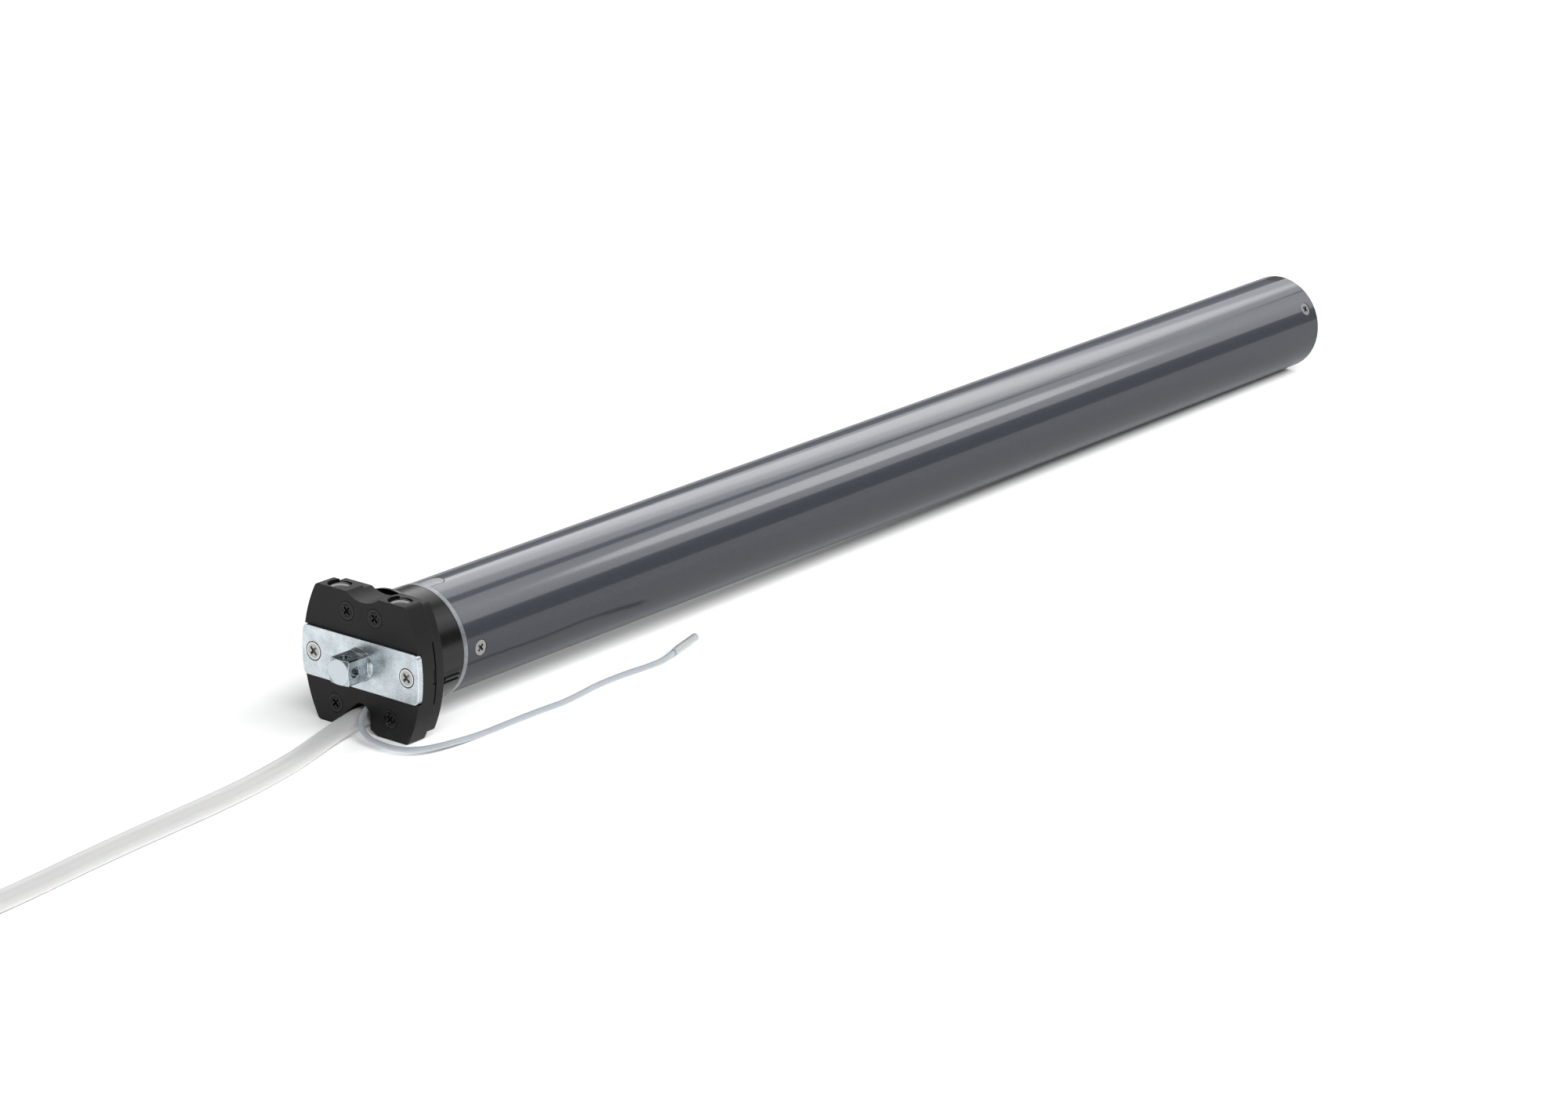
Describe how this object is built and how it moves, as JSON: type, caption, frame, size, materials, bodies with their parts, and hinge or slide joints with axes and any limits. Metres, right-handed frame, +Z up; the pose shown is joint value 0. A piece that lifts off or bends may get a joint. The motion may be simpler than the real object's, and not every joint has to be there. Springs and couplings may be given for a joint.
{
  "type": "tubular roller blind motor",
  "caption": "Tubular motor for a roller blind: barrel-shaped head with a square pin, turning crown ring, steel tube with brake and planetary gears, hexagon output, cable and aerial.",
  "frame": {"origin": "on the motor's axis, in the front face of the mounting plate at the foot of the square pin", "axes": "+X along the tube away from the pin, +Z up as it lies on the flats of its head"},
  "size_m": [0.9631, 0.1178, 0.055],
  "materials": {
    "black_moulding": "fine moulded grain",
    "zinc_plate": "zinc plated, satin",
    "plated_screws": "bright zinc",
    "black_screws": "blackened steel",
    "cast_ring": "turned",
    "painted_tube": "satin metallic lacquer",
    "circuit_board": "solder resist",
    "relay_case": "moulded",
    "supply_case": "potted",
    "terminal_case": "moulded",
    "grey_moulding": "moulded",
    "capacitor_can": "drawn can",
    "cast_shield": "die cast",
    "bronze": "sintered bronze",
    "laminations": "stacked sheet",
    "copper_wire": "enamelled copper",
    "rotor_cage": "die cast",
    "turned_steel": "turned and hobbed",
    "brake_iron": "machined",
    "spring_steel": "drawn wire",
    "brake_lining": "friction lining",
    "gearbox_case": "glass-filled nylon",
    "sintered_gears": "sintered steel",
    "magnet": "nickel plated",
    "cable_jacket": "soft PVC",
    "aerial_jacket": "soft PVC",
    "tie_band": "nylon",
    "clear_sleeve": "translucent"
  },
  "bodies": {
    "motor": {"head_front": "black_moulding", "head_body": "black_moulding", "cable_entry": "black_moulding", "rear_cap": "black_moulding", "mounting_plate": "zinc_plate", "square_pin": "zinc_plate", "plate_screws": "plated_screws", "tube_screws_front": "plated_screws", "tube_screws_rear": "plated_screws", "head_screws": "black_screws", "end_ring": "cast_ring", "motor_tube": "painted_tube", "control_board": "circuit_board", "radio_module": "circuit_board", "button_switches": "circuit_board", "crown_sensor_board": "circuit_board", "relays": "relay_case", "supply_module": "supply_case", "terminal_block": "terminal_case", "board_carrier": "grey_moulding", "capacitor_holder": "grey_moulding", "run_capacitor": "capacitor_can", "motor_shield_rear": "cast_shield", "motor_shield_front": "cast_shield", "rotor_bushes": "bronze", "output_bush": "bronze", "stator_core": "laminations", "stator_windings": "copper_wire", "brake_coil": "copper_wire", "cable_cores": "copper_wire", "brake_magnet": "brake_iron", "brake_spring": "spring_steel", "gearbox_housing": "gearbox_case", "power_cable": "cable_jacket", "power_cable_coil": "cable_jacket", "antenna_wire": "aerial_jacket", "coil_tie": "tie_band", "antenna_sleeve": "clear_sleeve"},
    "crown": {"crown_ring": "black_moulding", "crown_magnets": "magnet"},
    "left_button": {"setting_button_left": "black_moulding"},
    "right_button": {"setting_button_right": "black_moulding"},
    "rotor": {"rotor_core": "laminations", "rotor_end_rings": "rotor_cage", "rotor_shaft": "turned_steel", "brake_disc": "brake_lining"},
    "armature": {"brake_armature": "brake_iron"},
    "first_carrier": {"carrier_1": "turned_steel"},
    "second_carrier": {"carrier_2": "turned_steel"},
    "output": {"output_shaft": "turned_steel", "output_clip": "spring_steel"},
    "planet_1a_body": {"planet_1a": "sintered_gears"},
    "planet_1b_body": {"planet_1b": "sintered_gears"},
    "planet_1c_body": {"planet_1c": "sintered_gears"},
    "planet_2a_body": {"planet_2a": "sintered_gears"},
    "planet_2b_body": {"planet_2b": "sintered_gears"},
    "planet_2c_body": {"planet_2c": "sintered_gears"},
    "planet_3a_body": {"planet_3a": "sintered_gears"},
    "planet_3b_body": {"planet_3b": "sintered_gears"},
    "planet_3c_body": {"planet_3c": "sintered_gears"}
  },
  "joints": [
    {"name": "crown_turn", "type": "hinge", "parent": "motor", "child": "crown", "pos_m": [0.024, 0, 0], "axis": [1, 0, 0], "continuous": true},
    {"name": "left_button_push", "type": "slide", "parent": "motor", "child": "left_button", "axis": [0, 0, -1], "range_m": [0, 0.0008], "stiffness_N_per_m": 400, "springref_m": -0.0015},
    {"name": "right_button_push", "type": "slide", "parent": "motor", "child": "right_button", "axis": [0, 0, -1], "range_m": [0, 0.0008], "stiffness_N_per_m": 400, "springref_m": -0.0015},
    {"name": "rotor_turn", "type": "hinge", "parent": "motor", "child": "rotor", "pos_m": [0.43, 0, 0], "axis": [1, 0, 0], "continuous": true},
    {"name": "brake_release", "type": "slide", "parent": "motor", "child": "armature", "axis": [-1, 0, 0], "range_m": [0, 0.0004], "stiffness_N_per_m": 2000, "springref_m": -0.005},
    {"name": "first_carrier_turn", "type": "hinge", "parent": "motor", "child": "first_carrier", "pos_m": [0.56, 0, 0], "axis": [1, 0, 0], "continuous": true},
    {"name": "second_carrier_turn", "type": "hinge", "parent": "motor", "child": "second_carrier", "pos_m": [0.574, 0, 0], "axis": [1, 0, 0], "continuous": true},
    {"name": "output_turn", "type": "hinge", "parent": "motor", "child": "output", "pos_m": [0.63, 0, 0], "axis": [1, 0, 0], "continuous": true},
    {"name": "planet_1a_turn", "type": "hinge", "parent": "first_carrier", "child": "planet_1a_body", "pos_m": [0.5555, 0.0108, 0], "axis": [1, 0, 0], "continuous": true},
    {"name": "planet_1b_turn", "type": "hinge", "parent": "first_carrier", "child": "planet_1b_body", "pos_m": [0.5555, -0.0054, 0.00935], "axis": [1, 0, 0], "continuous": true},
    {"name": "planet_1c_turn", "type": "hinge", "parent": "first_carrier", "child": "planet_1c_body", "pos_m": [0.5555, -0.0054, -0.00935], "axis": [1, 0, 0], "continuous": true},
    {"name": "planet_2a_turn", "type": "hinge", "parent": "second_carrier", "child": "planet_2a_body", "pos_m": [0.5685, 0.0108, 0], "axis": [1, 0, 0], "continuous": true},
    {"name": "planet_2b_turn", "type": "hinge", "parent": "second_carrier", "child": "planet_2b_body", "pos_m": [0.5685, -0.0054, 0.00935], "axis": [1, 0, 0], "continuous": true},
    {"name": "planet_2c_turn", "type": "hinge", "parent": "second_carrier", "child": "planet_2c_body", "pos_m": [0.5685, -0.0054, -0.00935], "axis": [1, 0, 0], "continuous": true},
    {"name": "planet_3a_turn", "type": "hinge", "parent": "output", "child": "planet_3a_body", "pos_m": [0.5845, 0.0108, 0], "axis": [1, 0, 0], "continuous": true},
    {"name": "planet_3b_turn", "type": "hinge", "parent": "output", "child": "planet_3b_body", "pos_m": [0.5845, -0.0054, 0.00935], "axis": [1, 0, 0], "continuous": true},
    {"name": "planet_3c_turn", "type": "hinge", "parent": "output", "child": "planet_3c_body", "pos_m": [0.5845, -0.0054, -0.00935], "axis": [1, 0, 0], "continuous": true}
  ],
  "couplings": [
    {"joint": "first_carrier_turn", "follows": "rotor_turn", "ratio": 0.22222},
    {"joint": "second_carrier_turn", "follows": "rotor_turn", "ratio": 0.049383},
    {"joint": "output_turn", "follows": "rotor_turn", "ratio": 0.010974},
    {"joint": "planet_1a_turn", "follows": "rotor_turn", "ratio": -0.62222},
    {"joint": "planet_1b_turn", "follows": "rotor_turn", "ratio": -0.62222},
    {"joint": "planet_1c_turn", "follows": "rotor_turn", "ratio": -0.62222},
    {"joint": "planet_2a_turn", "follows": "rotor_turn", "ratio": -0.13827},
    {"joint": "planet_2b_turn", "follows": "rotor_turn", "ratio": -0.13827},
    {"joint": "planet_2c_turn", "follows": "rotor_turn", "ratio": -0.13827},
    {"joint": "planet_3a_turn", "follows": "rotor_turn", "ratio": -0.030727},
    {"joint": "planet_3b_turn", "follows": "rotor_turn", "ratio": -0.030727},
    {"joint": "planet_3c_turn", "follows": "rotor_turn", "ratio": -0.030727}
  ]
}
